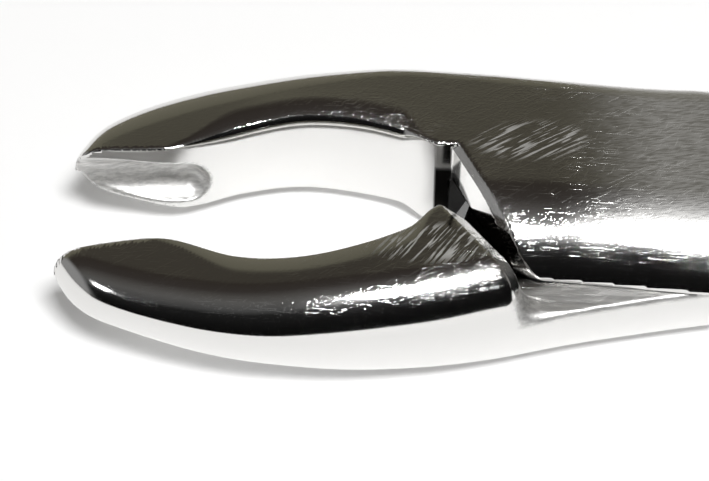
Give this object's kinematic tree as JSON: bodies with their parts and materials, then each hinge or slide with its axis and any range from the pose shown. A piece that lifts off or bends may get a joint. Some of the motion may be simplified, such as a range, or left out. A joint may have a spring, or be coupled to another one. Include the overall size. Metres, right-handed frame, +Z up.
{
  "type": "dental forceps",
  "caption": "Tooth extraction forceps with two lapped halves on a pivot screw, curved hollowed beaks and long bowed handles.",
  "frame": {"origin": "on the pivot axis, in the plane of the joint's flat underside, which is the floor plane Z = 0", "axes": "+X from the pivot along the forceps to the handle ends, +Y across it from the lower half's beak to the upper half's beak, +Z up along the pivot axis"},
  "size_m": [0.1703, 0.053, 0.0098],
  "materials": {
    "plated_steel": "worn polish",
    "screw_steel": "satin"
  },
  "bodies": {
    "top_half": {"top_half": "plated_steel", "hinge_screw": "screw_steel"},
    "bottom_half": {"bottom_half": "plated_steel"}
  },
  "joints": [
    {"name": "pivot", "type": "hinge", "parent": "top_half", "child": "bottom_half", "pos_m": [0, 0, 0], "axis": [0, 0, 1], "range_deg": [-11.5, 24]}
  ]
}
